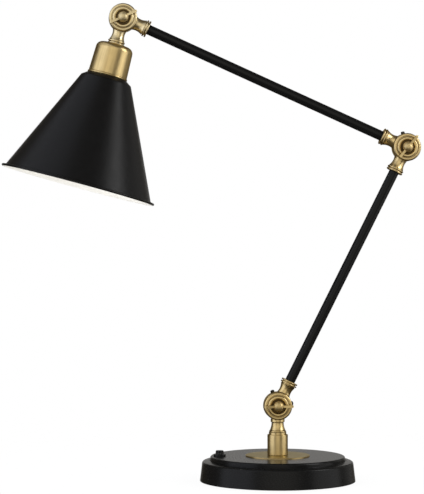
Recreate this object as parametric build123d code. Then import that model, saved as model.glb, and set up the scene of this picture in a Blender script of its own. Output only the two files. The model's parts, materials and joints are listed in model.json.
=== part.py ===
from build123d import *
import os
from math import acos, atan2, cos, hypot, radians, sin, tan

# Adjustable desk lamp: a weighted round base, a swivelling stem, two tube arms and a spun shade.
# Millimetres and degrees. +Z is up, the viewer is on the -Y side, and the origin is the centre of
# the felt's underside. Every arm joint turns about an axis along Y.

# Fits and clearances
SLIP = 0.05
LOOSE = 0.3
RUNNING = 0.5

# Base
BASE_RADIUS = 97.1
BASE_LIFT = 0.8
BASE_DRAFT = 6.8
TIER_HEIGHT = 26.0
TIER_ROUND = 2.5
SHELF_WIDTH = 10.0
SHELF_DROP = 1.4
PLATEAU_RISE = 5.4
PLATEAU_ROUND = 2.2
GROOVE_RADIUS = 0.9
SHELL_WALL = 2.0
FELT_THICKNESS = 2.0
WEIGHT_THICKNESS = 12.0
WEIGHT_MARGIN = 0.8
WEIGHT_BOSS_RADIUS = 22.0
NUT_RECESS_RADIUS = 14.0
NUT_RECESS_DEPTH = 8.0
BASE_WASHER_RADIUS = 12.0
BASE_WASHER_THICKNESS = 1.5
NIPPLE_RADIUS = 5.0
NIPPLE_BORE = 3.4
NIPPLE_NUT_FLATS = 16.0
NIPPLE_NUT_HEIGHT = 5.0

# Cord inlet at the back of the base
INLET_HEIGHT = 11.0
INLET_BORE = 3.2
INLET_BARREL = 4.9
INLET_DEPTH = 6.0
INLET_FLANGE_RADIUS = 6.5
INLET_FLANGE_THICKNESS = 1.8
INLET_SEAT_DEPTH = 1.0
CORD_SLOT_WIDTH = 11.0

# Rotary switch on the plateau
SWITCH_INSET = 11.8
SWITCH_ANGLE = 177.2
SWITCH_BODY_RADIUS = 9.0
SWITCH_BODY_HEIGHT = 14.0
SWITCH_POCKET_GAP = 2.0
SWITCH_BUSH_RADIUS = 4.75
SWITCH_NUT_RADIUS = 7.65
SWITCH_NUT_HEIGHT = 2.5
SWITCH_NUT_ROUND = 0.7
SWITCH_SHAFT_RADIUS = 2.0
SWITCH_SHAFT_DEPTH = 8.0
KNOB_RADIUS = 5.4
KNOB_HEIGHT = 4.0
KNOB_GAP = 0.5
KNOB_ROOF = 1.4
KNOB_FLUTES = 8
KNOB_FLUTE_RADIUS = 1.3
KNOB_ROUND = 0.6

# Brass plate, column and swivel
PLATE_RADIUS = 40.0
PLATE_THICKNESS = 1.4
PLATE_BEVEL = 0.3
COLUMN_RADIUS = 12.8
COLUMN_HEIGHT = 25.5
COLUMN_FLOOR = 8.5
COLUMN_EDGE = 0.6
SPIGOT_RADIUS = 8.0
SPIGOT_END_GAP = 1.0
SWIVEL_WASHER_RADIUS = 10.9
SWIVEL_WASHER_THICKNESS = 3.0
SWIVEL_GROOVE_DEPTH = 1.2
SWIVEL_SCREW_RADIUS = 1.5
SWIVEL_SCREW_DROP = 7.9

# Knuckle halves
DISC_RADIUS = 17.5
DISC_THICKNESS = 9.0
DISC_ROUND = 2.2
RECESS_RADIUS = 14.1
RECESS_DEPTH = 2.0
RECESS_ROUND = 0.5
CHAMBER_INNER = 5.0
CHAMBER_OUTER = 12.5
CHAMBER_DEPTH = 4.5
PIN_RADIUS = 3.0
FRICTION_THICKNESS = 1.0
FRICTION_WIDTH = 4.0
FRICTION_INSET = 0.6
LEAD_HOLE = 3.0

# Turned necks of the knuckles
NECK_LENGTH = 34.5
NECK_ROOT_RADIUS = 8.4
NECK_WAIST_RADIUS = 7.7
NECK_FLARE_RADIUS = 9.6
NECK_RING_RADIUS = 10.6
NECK_RING_LENGTH = 2.1
NECK_RING_ROUND = 0.9
NECK_GROOVE_WIDTH = 0.8
NECK_GROOVE_DEPTH = 1.0
ARM_NECK_RINGS = 2
STEM_NECK_LENGTH = 32.7
STEM_NECK_RINGS = 1
COLLAR_RADIUS = 8.7
COLLAR_REACH = 3.1
COLLAR_ROUND = 1.2

# Clamp cup, thumb screw and cap nut of each joint
BEAD_OUTER = 13.1
BEAD_INNER = 9.0
BEAD_HEIGHT = 3.2
BEAD_ROUND = 1.8
CUP_FLOOR = 1.0
HUB_RADIUS = 6.5
HUB_HEIGHT = 10.0
HUB_ROUND = 6.0
WING_SPAN = 18.5
WING_ROOT_THICKNESS = 2.4
WING_TIP_THICKNESS = 3.2
WING_HEIGHT = 6.0
WING_RISE = 3.0
WING_ROUND = 2.0
WING_GAP = 0.8
CAP_NUT_FLANGE_RADIUS = 8.5
CAP_NUT_FLANGE_THICKNESS = 1.6
CAP_NUT_FLATS = 11.0
CAP_NUT_HEIGHT = 9.0
CAP_NUT_DOME_RADIUS = 5.3
CAP_NUT_DOME_ROUND = 4.0
CAP_NUT_HEX_HEIGHT = 4.0
CAP_NUT_ROOF = 2.0

# Small screws in the rim of a rear knuckle half
RIM_SCREW_HEAD_RADIUS = 2.5
RIM_SCREW_HEAD_HEIGHT = 3.8
RIM_SCREW_SHANK_RADIUS = 1.5
RIM_SCREW_SHANK_LENGTH = 2.8
RIM_SCREW_SINK = 0.6
RIM_SCREW_SLOT = 0.8
SHOULDER_RIM_SCREW_ANGLES = (45.7, -55.3)
ELBOW_RIM_SCREW_ANGLES = (-55.0,)

# Arms, and the angles of the resting pose counted from +X towards +Z
TUBE_RADIUS = 6.25
TUBE_WALL = 1.0
SOCKET_DEPTH = 7.0
LEAD_RADIUS = 2.2
LOWER_ARM_LENGTH = 362.25
UPPER_ARM_LENGTH = 389.8
STEM_ANGLE = 270.0
LOWER_ARM_ANGLE = 63.33
UPPER_ARM_ANGLE = 155.91
HEAD_ANGLE = 255.0
HALF_TURN = 180.0
SHOULDER_WING_ANGLE = 1.0
ELBOW_WING_ANGLE = 50.0
HEAD_WING_ANGLE = 24.3

# Socket cup and lampholder, measured along the head's own axis
CUP_TOP_RADIUS = 23.0
CUP_MOUTH_RADIUS = 24.4
CUP_HEIGHT = 41.2
CUP_ROUND = 7.5
CUP_WALL = 1.2
CUP_LIP_RADIUS = 1.5
HEAD_NIPPLE_IN_CUP = 11.0
HOLDER_RADIUS = 18.8
HOLDER_ROOF = 4.3
HOLDER_CAVITY_RADIUS = 14.0
HOLDER_CAVITY_HEIGHT = 10.0
HOLDER_FLOOR = 3.0
HOLDER_SKIRT = 8.0
SCREW_SHELL_RADIUS = 14.2
SCREW_SHELL_WALL = 0.6
SCREW_SHELL_LENGTH = 22.0
CONTACT_RADIUS = 4.0
CONTACT_HEIGHT = 1.2
TERMINAL_HOLE = 1.5
TERMINAL_OFFSET = 8.0

# Shade and the ring that clamps it
SHADE_WALL = 0.9
SHADE_NECK_RADIUS = 25.4
SHADE_SHOULDER_RADIUS = 31.8
SHADE_SHOULDER_LENGTH = 4.5
SHADE_SHOULDER_ROUND = 3.0
SHADE_MOUTH_RADIUS = 93.3
SHADE_CONE_LENGTH = 133.7
SHADE_FLANGE_WIDTH = 2.6
SHADE_FLANGE_DROP = 0.5
SHADE_FLANGE_ROUND = 1.5
SHADE_ROLL_RADIUS = 1.5
SHADE_RING_RADIUS = 23.6
SHADE_RING_LENGTH = 6.0
SHADE_RING_NOTCHES = 12
SHADE_RING_NOTCH_RADIUS = 1.0

# Light bulb
BULB_CAP_RADIUS = 13.1
BULB_CAP_LENGTH = 22.0
BULB_CAP_WALL = 0.8
BULB_TIP_RADIUS = 4.5
BULB_TIP_LENGTH = 3.0
BULB_NECK_LENGTH = 3.0
BULB_NECK_RADIUS = 14.0
BULB_RADIUS = 30.0
BULB_CENTRE_DISTANCE = 45.0
BULB_GLASS_WALL = 0.8

# Heights of the stack from the table up
weight_top = FELT_THICKNESS + WEIGHT_THICKNESS
shell_top = TIER_HEIGHT + PLATEAU_RISE
shell_under = shell_top - SHELL_WALL
plate_top = shell_top + PLATE_THICKNESS
column_top = plate_top + COLUMN_HEIGHT
column_floor_top = plate_top + COLUMN_FLOOR
swivel_washer_top = column_top + SWIVEL_WASHER_THICKNESS
shoulder_height = swivel_washer_top + STEM_NECK_LENGTH
recess_roof = FELT_THICKNESS + NUT_RECESS_DEPTH

# Radii of the base at its steps, and the place of the switch on the plateau
draft = tan(radians(BASE_DRAFT))
tier_edge = TIER_HEIGHT - SHELF_DROP
tier_radius = BASE_RADIUS - (tier_edge - BASE_LIFT) * draft
plateau_radius = tier_radius - SHELF_WIDTH
weight_radius = BASE_RADIUS - (weight_top - BASE_LIFT) * draft - SHELL_WALL - WEIGHT_MARGIN
switch_x = (plateau_radius - SWITCH_INSET) * cos(radians(SWITCH_ANGLE))
switch_y = (plateau_radius - SWITCH_INSET) * sin(radians(SWITCH_ANGLE))

# Levels of one joint, counted from its middle plane towards the viewer
disc_inner = FRICTION_THICKNESS / 2
disc_outer = disc_inner + DISC_THICKNESS
recess_floor = disc_outer - RECESS_DEPTH
cup_seat = recess_floor + CUP_FLOOR
bead_top = recess_floor + BEAD_HEIGHT
disc_middle = (disc_inner + disc_outer) / 2
rim_seat = DISC_RADIUS - RIM_SCREW_SINK

# Stations along the head's axis, counted from its joint
cup_top = NECK_LENGTH
cup_mouth = cup_top + CUP_HEIGHT
head_nut_top = cup_top + CUP_WALL
holder_top = head_nut_top + NIPPLE_NUT_HEIGHT
cavity_top = holder_top + HOLDER_ROOF
contact_seat = cavity_top + HOLDER_CAVITY_HEIGHT + HOLDER_FLOOR
holder_end = cup_mouth + HOLDER_SKIRT
shade_inner_face = cup_mouth + SHADE_WALL
shade_shoulder = cup_mouth + SHADE_SHOULDER_LENGTH
shade_mouth = shade_shoulder + SHADE_CONE_LENGTH
bulb_tip = contact_seat + CONTACT_HEIGHT
bulb_cap_start = bulb_tip + BULB_TIP_LENGTH
bulb_glass_start = bulb_cap_start + BULB_CAP_LENGTH


# Drawing helpers

def right_normal(start, end):
    """Unit vector that points to the right of the way from start to end."""
    length = hypot(end[0] - start[0], end[1] - start[1])
    return (end[1] - start[1]) / length, (start[0] - end[0]) / length


def sheet_outline(points, rounds, wall):
    """Closed outline of a sheet whose outer face runs through points, with rounded bends."""
    normals = [right_normal(a, b) for a, b in zip(points, points[1:])]
    before = normals[:1] + normals
    after = normals + normals[-1:]
    inner = []
    for (x, y), (ax, ay), (bx, by) in zip(points, before, after):
        stretch = wall / (1 + ax * bx + ay * by)
        inner.append((x + stretch * (ax + bx), y + stretch * (ay + by)))
    inner_rounds = []
    for (ax, ay), (bx, by), size in zip(normals, normals[1:], rounds):
        turns_right = ax * by - ay * bx < 0
        inner_rounds.append(max(size - wall, 0) if turns_right else size + wall)
    radii = [0, *rounds, 0, 0, *inner_rounds[::-1], 0]
    return FilletPolyline(*points, *inner[::-1], radius=radii, close=True)


def outline(*corners):
    """Closed outline through corners, each given as two coordinates and, where it is rounded, a radius."""
    points = [corner[:2] for corner in corners]
    radii = [corner[2] if len(corner) > 2 else 0 for corner in corners]
    return FilletPolyline(*points, radius=radii, close=True)


def turned_z(line):
    """Solid turned about Z from an outline in radius and height."""
    return revolve(Plane.XZ * make_face(line), Axis.Z)


def turned_x(line):
    """Solid turned about X from an outline in distance along X and radius."""
    return revolve(make_face(line), Axis.X)


def rod_z(radius, low, high):
    """Round bar along Z."""
    return extrude(Plane.XY.offset(low) * Circle(radius), high - low)


def rod_x(radius, low, high):
    """Round bar along X."""
    return extrude(Plane.YZ.offset(low) * Circle(radius), high - low)


def pipe_z(outer, inner, low, high):
    """Round tube along Z."""
    return rod_z(outer, low, high) - rod_z(inner, low, high)


def pipe_x(outer, inner, low, high):
    """Round tube along X."""
    return rod_x(outer, low, high) - rod_x(inner, low, high)


def hex_z(flats, low, high):
    """Hexagonal bar along Z, by its size across the flats."""
    plan = RegularPolygon(flats / 2, 6, major_radius=False)
    return extrude(Plane.XY.offset(low) * plan, high - low)


def reach(start, angle, length):
    """Point at a distance and an angle from start, in the plane of the arms."""
    return Vector(start) + Vector(cos(radians(angle)), 0, sin(radians(angle))) * length


def joint_plane(pivot, angle):
    """Frame of a joint: X along the piece that leaves it, Z along the pin towards the viewer."""
    along = (cos(radians(angle)), 0, sin(radians(angle)))
    return Plane(origin=pivot, x_dir=along, z_dir=(0, -1, 0))


# Base pieces

def base_shell():
    """Two-tier pressed cover with holes for the nipple, the switch and the cord bush."""
    points = [
        (NIPPLE_RADIUS + LOOSE, shell_top),
        (plateau_radius, shell_top),
        (plateau_radius, TIER_HEIGHT),
        (tier_radius, tier_edge),
        (BASE_RADIUS, BASE_LIFT),
    ]
    shell = turned_z(sheet_outline(points, [PLATEAU_ROUND, 0, TIER_ROUND], SHELL_WALL))
    shell -= rod_z(BASE_RADIUS * 2, 0, BASE_LIFT)
    shell -= Pos(0, 0, TIER_HEIGHT) * Torus(plateau_radius + GROOVE_RADIUS, GROOVE_RADIUS)
    shell -= at_switch(rod_z(SWITCH_BUSH_RADIUS + SLIP, shell_under, shell_top))
    shell -= inlet_plane() * rod_x(INLET_BARREL + SLIP, -SHELL_WALL * 2, 0)
    shell -= inlet_plane() * rod_x(INLET_FLANGE_RADIUS + LOOSE, 0, SHELL_WALL * 2)
    return shell


def inlet_plane():
    """Frame of the cord bush: origin on its spot-faced seat in the back wall, X outwards."""
    wall_radius = BASE_RADIUS - (INLET_HEIGHT - BASE_LIFT) * draft
    seat = (0, wall_radius - INLET_SEAT_DEPTH, INLET_HEIGHT)
    return Plane(origin=seat, x_dir=(0, 1, 0), z_dir=(0, 0, 1))


def cord_bush():
    """Flanged bush with the empty bore that the supply cord would enter by."""
    barrel = pipe_x(INLET_BARREL, INLET_BORE, -INLET_DEPTH, 0)
    flange = turned_x(outline(
        (0, INLET_BORE),
        (0, INLET_FLANGE_RADIUS),
        (INLET_FLANGE_THICKNESS, INLET_FLANGE_RADIUS, INLET_FLANGE_THICKNESS / 2),
        (INLET_FLANGE_THICKNESS, INLET_BORE),
    ))
    return inlet_plane() * (barrel + flange)


def base_weight():
    """Cast disc with a boss up to the shell, and room for the nut, the switch and the cord."""
    weight = turned_z(outline(
        (NIPPLE_RADIUS + LOOSE, recess_roof),
        (NUT_RECESS_RADIUS, recess_roof),
        (NUT_RECESS_RADIUS, FELT_THICKNESS),
        (weight_radius, FELT_THICKNESS),
        (weight_radius, weight_top),
        (WEIGHT_BOSS_RADIUS, weight_top),
        (WEIGHT_BOSS_RADIUS, shell_under),
        (NIPPLE_RADIUS + LOOSE, shell_under),
    ))
    pocket_radius = SWITCH_BODY_RADIUS + SWITCH_POCKET_GAP
    weight -= at_switch(rod_z(pocket_radius, 0, shell_under))
    from_middle = (Align.CENTER, Align.MIN, Align.MIN)
    channel = Box(CORD_SLOT_WIDTH, BASE_RADIUS, recess_roof, align=from_middle)
    slot = Box(CORD_SLOT_WIDTH, BASE_RADIUS, shell_under, align=from_middle)
    return weight - channel - (slot - rod_z(WEIGHT_BOSS_RADIUS, 0, shell_under))


def felt_pad():
    """Round felt under the weight."""
    return rod_z(weight_radius, 0, FELT_THICKNESS)


def base_nipple():
    """Threaded tube that ties the weight, shell, plate and column together."""
    return pipe_z(NIPPLE_RADIUS, NIPPLE_BORE, FELT_THICKNESS + LOOSE, column_floor_top)


def base_washer():
    """Plain washer against the roof of the weight's recess."""
    low = recess_roof - BASE_WASHER_THICKNESS
    return pipe_z(BASE_WASHER_RADIUS, NIPPLE_RADIUS + LOOSE, low, recess_roof)


def nipple_nut():
    """Thin hexagonal nut for a nipple, standing on the XY plane."""
    thread = rod_z(NIPPLE_RADIUS + SLIP, 0, NIPPLE_NUT_HEIGHT)
    return hex_z(NIPPLE_NUT_FLATS, 0, NIPPLE_NUT_HEIGHT) - thread


def base_nut():
    """Nut that pulls the nipple down."""
    return Pos(0, 0, recess_roof - BASE_WASHER_THICKNESS - NIPPLE_NUT_HEIGHT) * nipple_nut()


def base_plate():
    """Brass disc under the column, with a bevelled edge."""
    return turned_z(outline(
        (NIPPLE_RADIUS + LOOSE, shell_top),
        (PLATE_RADIUS, shell_top),
        (PLATE_RADIUS, plate_top - PLATE_BEVEL),
        (PLATE_RADIUS - PLATE_BEVEL, plate_top),
        (NIPPLE_RADIUS + LOOSE, plate_top),
    ))


def swivel_screw_height():
    """Height of the swivel screw in the column."""
    return column_top - SWIVEL_SCREW_DROP


def column():
    """Turned brass column: nipple thread below, swivel bore above, screw hole at the back."""
    body = turned_z(outline(
        (NIPPLE_RADIUS + SLIP, plate_top),
        (COLUMN_RADIUS, plate_top, COLUMN_EDGE),
        (COLUMN_RADIUS, column_top, COLUMN_EDGE),
        (SPIGOT_RADIUS + SLIP, column_top),
        (SPIGOT_RADIUS + SLIP, column_floor_top),
        (NIPPLE_RADIUS + SLIP, column_floor_top),
    ))
    hole = Plane.XZ * Pos(0, swivel_screw_height()) * Circle(SWIVEL_SCREW_RADIUS + SLIP)
    return body - extrude(hole, -COLUMN_RADIUS)


def swivel_screw():
    """Grub screw at the back of the column whose tip runs in the spigot's groove."""
    tip = SPIGOT_RADIUS - SWIVEL_GROOVE_DEPTH + LOOSE
    section = Plane.XZ.offset(-tip) * Pos(0, swivel_screw_height()) * Circle(SWIVEL_SCREW_RADIUS)
    return extrude(section, -(COLUMN_RADIUS - tip))


def swivel_washer():
    """Ring between the column and the bell of the stem."""
    return turned_z(outline(
        (SPIGOT_RADIUS + SLIP, column_top),
        (SWIVEL_WASHER_RADIUS, column_top),
        (SWIVEL_WASHER_RADIUS, swivel_washer_top),
        (SPIGOT_RADIUS + SLIP, swivel_washer_top),
    ))


# Switch pieces

def at_switch(piece):
    """Piece moved from the Z axis to the switch's axis."""
    return Pos(switch_x, switch_y, 0) * piece


def switch_body():
    """Switch case under the plateau, with the threaded bush that comes up through it."""
    bush_top = shell_top + SWITCH_NUT_HEIGHT
    case = rod_z(SWITCH_BODY_RADIUS, shell_under - SWITCH_BODY_HEIGHT, shell_under)
    case += rod_z(SWITCH_BUSH_RADIUS, shell_under, bush_top)
    return at_switch(case - rod_z(SWITCH_SHAFT_RADIUS + SLIP, bush_top - SWITCH_SHAFT_DEPTH, bush_top))


def switch_nut():
    """Round bezel nut that holds the switch on the plateau."""
    nut_top = shell_top + SWITCH_NUT_HEIGHT
    return at_switch(turned_z(outline(
        (SWITCH_BUSH_RADIUS + SLIP, shell_top),
        (SWITCH_NUT_RADIUS, shell_top),
        (SWITCH_NUT_RADIUS, nut_top, SWITCH_NUT_ROUND),
        (SWITCH_BUSH_RADIUS + SLIP, nut_top),
    )))


def switch_shaft():
    """Shaft that turns in the bush and carries the knob."""
    bush_top = shell_top + SWITCH_NUT_HEIGHT
    knob_roof = bush_top + KNOB_GAP + KNOB_HEIGHT - KNOB_ROOF
    return at_switch(rod_z(SWITCH_SHAFT_RADIUS, bush_top - SWITCH_SHAFT_DEPTH, knob_roof))


def switch_knob():
    """Fluted knob on the shaft."""
    bottom = shell_top + SWITCH_NUT_HEIGHT + KNOB_GAP
    top = bottom + KNOB_HEIGHT
    knob = turned_z(outline(
        (SWITCH_SHAFT_RADIUS + SLIP, bottom),
        (KNOB_RADIUS, bottom),
        (KNOB_RADIUS, top, KNOB_ROUND),
        (0, top),
        (0, top - KNOB_ROOF),
        (SWITCH_SHAFT_RADIUS + SLIP, top - KNOB_ROOF),
    ))
    for spot in PolarLocations(KNOB_RADIUS + KNOB_FLUTE_RADIUS / 3, KNOB_FLUTES):
        knob -= spot * rod_z(KNOB_FLUTE_RADIUS, bottom, top)
    return at_switch(knob)


# Pieces of one joint, drawn in the joint's own frame

def disc_half():
    """Round half of a knuckle: pin bore, lead chamber inside and a recess for the clamp outside."""
    bore = PIN_RADIUS + SLIP
    chamber_roof = disc_inner + CHAMBER_DEPTH
    return turned_z(outline(
        (bore, disc_inner),
        (CHAMBER_INNER, disc_inner),
        (CHAMBER_INNER, chamber_roof),
        (CHAMBER_OUTER, chamber_roof),
        (CHAMBER_OUTER, disc_inner),
        (DISC_RADIUS, disc_inner),
        (DISC_RADIUS, disc_outer, DISC_ROUND),
        (RECESS_RADIUS, disc_outer, RECESS_ROUND),
        (RECESS_RADIUS, recess_floor),
        (bore, recess_floor),
    ))


def neck(length, rings):
    """Trumpet neck along X that ends in rings, each set off by a groove."""
    start = RECESS_RADIUS + LOOSE
    ring_pitch = NECK_RING_LENGTH + NECK_GROOVE_WIDTH
    flare_end = length - rings * ring_pitch
    core_end = length - NECK_RING_LENGTH
    groove_radius = NECK_FLARE_RADIUS - NECK_GROOVE_DEPTH
    root = (DISC_RADIUS - DISC_ROUND / 2, NECK_ROOT_RADIUS)
    waist = ((root[0] + flare_end) / 2, NECK_WAIST_RADIUS)
    flare = (flare_end, NECK_FLARE_RADIUS)
    foot = Polyline((core_end, 0), (start, 0), (start, NECK_ROOT_RADIUS), root)
    end = Polyline(flare, (flare_end, groove_radius), (core_end, groove_radius), (core_end, 0))
    trumpet = revolve(make_face(foot + ThreePointArc(root, waist, flare) + end), Axis.X)
    for i in range(rings):
        ring_end = length - i * ring_pitch
        ring_start = ring_end - NECK_RING_LENGTH
        trumpet += turned_x(outline(
            (ring_start, 0),
            (ring_start, NECK_RING_RADIUS, NECK_RING_ROUND),
            (ring_end, NECK_RING_RADIUS, NECK_RING_ROUND),
            (ring_end, 0),
        ))
    return trumpet


def collared(neck_solid):
    """Neck of the stem, with a beaded collar at its root and a groove behind the bead."""
    start = DISC_RADIUS - DISC_ROUND / 2
    end = DISC_RADIUS + COLLAR_REACH
    bead = turned_x(outline(
        (start, 0),
        (start, COLLAR_RADIUS),
        (end, COLLAR_RADIUS, COLLAR_ROUND),
        (end, 0),
    ))
    groove = pipe_x(COLLAR_RADIUS, NECK_WAIST_RADIUS - NECK_GROOVE_DEPTH, end, end + NECK_GROOVE_WIDTH)
    return neck_solid + bead - groove


def knuckle_half(neck_solid, socket_floor):
    """Front half of a knuckle with its neck, clear of the other half and bored for the lead."""
    other_half = rod_z(DISC_RADIUS + RUNNING, -disc_outer * 2, disc_inner)
    half = disc_half() + (neck_solid - other_half)
    return half - rod_x(LEAD_HOLE, (CHAMBER_INNER + CHAMBER_OUTER) / 2, socket_floor)


def arm_knuckle(neck_solid):
    """Knuckle half whose neck holds the end of an arm tube."""
    socket_floor = NECK_LENGTH - SOCKET_DEPTH
    half = knuckle_half(neck_solid, socket_floor)
    return half - rod_x(TUBE_RADIUS + SLIP, socket_floor, NECK_LENGTH)


def head_knuckle():
    """Knuckle half whose neck takes the head's nipple."""
    socket_floor = NECK_LENGTH - SOCKET_DEPTH
    half = knuckle_half(neck(NECK_LENGTH, ARM_NECK_RINGS), socket_floor)
    return half - rod_x(NIPPLE_RADIUS + SLIP, socket_floor, NECK_LENGTH)


def stem_knuckle():
    """Knuckle half whose neck goes on as the swivel spigot, with the groove for the swivel screw."""
    spigot_end = shoulder_height - column_floor_top - SPIGOT_END_GAP
    groove_middle = shoulder_height - swivel_screw_height()
    groove_half = SWIVEL_SCREW_RADIUS + LOOSE
    spigot = rod_x(SPIGOT_RADIUS, STEM_NECK_LENGTH, spigot_end)
    spigot -= pipe_x(
        SPIGOT_RADIUS + SLIP,
        SPIGOT_RADIUS - SWIVEL_GROOVE_DEPTH,
        groove_middle - groove_half,
        groove_middle + groove_half,
    )
    bell = collared(neck(STEM_NECK_LENGTH, STEM_NECK_RINGS))
    return knuckle_half(bell + spigot, spigot_end)


def rear(piece):
    """Piece of the front half turned into one of the rear half."""
    return mirror(piece, about=Plane.XY)


def rim_screw():
    """Slotted screw along X that stands on the knuckle's rim."""
    head_end = rim_seat + RIM_SCREW_HEAD_HEIGHT
    screw = rod_x(RIM_SCREW_HEAD_RADIUS, rim_seat, head_end)
    slot = Box(RIM_SCREW_SLOT, RIM_SCREW_SLOT, RIM_SCREW_HEAD_RADIUS * 2)
    screw -= Pos(head_end, 0, 0) * slot
    return screw + rod_x(RIM_SCREW_SHANK_RADIUS, rim_seat - RIM_SCREW_SHANK_LENGTH, rim_seat)


def rim_screw_hole():
    """Room for one rim screw: its spot face and its tapped hole."""
    hole = rod_x(RIM_SCREW_SHANK_RADIUS + SLIP, rim_seat - RIM_SCREW_SHANK_LENGTH - LOOSE, rim_seat)
    return hole + rod_x(RIM_SCREW_HEAD_RADIUS + LOOSE, rim_seat, DISC_RADIUS * 2)


def on_rim(piece, angle):
    """Piece turned to its place on the rim of the rear half."""
    return Rot(0, 0, angle) * Pos(0, 0, -disc_middle) * piece


def rim_screws(angles):
    """All the rim screws of one joint, as separate solids."""
    return Compound([on_rim(rim_screw(), angle).solid() for angle in angles])


def drilled_rear(half, angles):
    """Rear knuckle half with its rim screw holes."""
    piece = rear(half)
    for angle in angles:
        piece -= on_rim(rim_screw_hole(), angle)
    return piece


def friction_washer():
    """Fibre ring between the two halves."""
    outer = DISC_RADIUS - FRICTION_INSET
    return pipe_z(outer, outer - FRICTION_WIDTH, -disc_inner, disc_inner)


def clamp_cup():
    """Brass cup washer with a rounded bead, seated in the front recess."""
    return turned_z(outline(
        (PIN_RADIUS + LOOSE, recess_floor),
        (BEAD_OUTER, recess_floor),
        (BEAD_OUTER, bead_top, BEAD_ROUND),
        (BEAD_INNER, bead_top, BEAD_ROUND),
        (BEAD_INNER, cup_seat),
        (PIN_RADIUS + LOOSE, cup_seat),
    ))


def wing():
    """One slim wing of the thumb screw, thicker at its rounded tip."""
    low = bead_top + WING_GAP
    high = low + WING_HEIGHT
    tip = WING_TIP_THICKNESS / 2
    plan = make_hull((Circle(WING_ROOT_THICKNESS / 2) + Pos(WING_SPAN - tip, 0) * Circle(tip)).edges())
    side = outline(
        (0, low),
        (WING_SPAN, low, WING_ROUND),
        (WING_SPAN, high, WING_ROUND),
        (0, high - WING_RISE),
    )
    blade = extrude(Plane.XZ * make_face(side), HUB_RADIUS, both=True)
    return extrude(Plane.XY.offset(low) * plan, WING_HEIGHT) & blade


def thumb_screw():
    """Winged screw whose shank is the joint's pin and threads into the cap nut."""
    tail = -(recess_floor + CAP_NUT_HEIGHT - CAP_NUT_ROOF)
    screw = turned_z(outline(
        (0, tail),
        (PIN_RADIUS, tail),
        (PIN_RADIUS, cup_seat),
        (HUB_RADIUS, cup_seat),
        (HUB_RADIUS, cup_seat + HUB_HEIGHT, HUB_ROUND),
        (0, cup_seat + HUB_HEIGHT),
    ))
    return screw + wing() + mirror(wing(), about=Plane.YZ)


def cap_nut():
    """Domed hexagonal nut on a round flange, drawn on the front and used on the rear."""
    low = recess_floor
    flange_top = low + CAP_NUT_FLANGE_THICKNESS
    hex_top = flange_top + CAP_NUT_HEX_HEIGHT
    top = low + CAP_NUT_HEIGHT
    nut = rod_z(CAP_NUT_FLANGE_RADIUS, low, flange_top)
    nut += hex_z(CAP_NUT_FLATS, flange_top, hex_top)
    nut += turned_z(outline(
        (0, low),
        (CAP_NUT_DOME_RADIUS, low),
        (CAP_NUT_DOME_RADIUS, top, CAP_NUT_DOME_ROUND),
        (0, top),
    ))
    return nut - rod_z(PIN_RADIUS + SLIP, low, top - CAP_NUT_ROOF + LOOSE)


# Arm pieces, drawn along X from the arm's lower joint

def arm_tube(length):
    """Steel tube from socket floor to socket floor."""
    inset = NECK_LENGTH - SOCKET_DEPTH
    return pipe_x(TUBE_RADIUS, TUBE_RADIUS - TUBE_WALL, inset, length - inset)


def arm_lead(length):
    """Lamp lead that lies along the inside of the tube."""
    inset = NECK_LENGTH - SOCKET_DEPTH
    offset = TUBE_RADIUS - TUBE_WALL - LEAD_RADIUS - SLIP
    return Pos(0, -offset, 0) * rod_x(LEAD_RADIUS, inset, length - inset)


# Head pieces, drawn along X from the head's joint

def head_nipple():
    """Threaded tube from the neck through the cup into the lampholder."""
    return pipe_x(NIPPLE_RADIUS, NIPPLE_BORE, NECK_LENGTH - SOCKET_DEPTH, cup_top + HEAD_NIPPLE_IN_CUP)


def head_nut():
    """Nut that holds the cup to the neck."""
    return Pos(head_nut_top, 0, 0) * Rot(0, 90, 0) * nipple_nut()


def socket_cup():
    """Spun brass cup with a rolled lip."""
    points = [(cup_top, NIPPLE_RADIUS + LOOSE), (cup_top, CUP_TOP_RADIUS), (cup_mouth, CUP_MOUTH_RADIUS)]
    cup = turned_x(sheet_outline(points, [CUP_ROUND], CUP_WALL))
    cup -= rod_x(CUP_MOUTH_RADIUS * 2, cup_mouth, cup_mouth + CUP_WALL)
    lip = Pos(cup_mouth - CUP_LIP_RADIUS, CUP_MOUTH_RADIUS - CUP_WALL / 2) * Circle(CUP_LIP_RADIUS)
    return cup + revolve(lip, Axis.X)


def lampholder():
    """Insulating body: nipple hole, wiring cavity, contact floor and the bore for the screw shell."""
    body = rod_x(HOLDER_RADIUS, holder_top, holder_end)
    body -= rod_x(NIPPLE_RADIUS + SLIP, holder_top, cavity_top)
    body -= rod_x(HOLDER_CAVITY_RADIUS, cavity_top, contact_seat - HOLDER_FLOOR)
    body -= rod_x(SCREW_SHELL_RADIUS + SLIP, contact_seat, holder_end)
    for spot in Locations((0, TERMINAL_OFFSET, 0), (0, -TERMINAL_OFFSET, 0)):
        body -= spot * rod_x(TERMINAL_HOLE, contact_seat - HOLDER_FLOOR, contact_seat)
    return body


def screw_shell():
    """Brass sleeve that the bulb screws into."""
    return pipe_x(
        SCREW_SHELL_RADIUS,
        SCREW_SHELL_RADIUS - SCREW_SHELL_WALL,
        contact_seat,
        contact_seat + SCREW_SHELL_LENGTH,
    )


def centre_contact():
    """Brass button on the floor of the lampholder."""
    return rod_x(CONTACT_RADIUS, contact_seat, bulb_tip)


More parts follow.
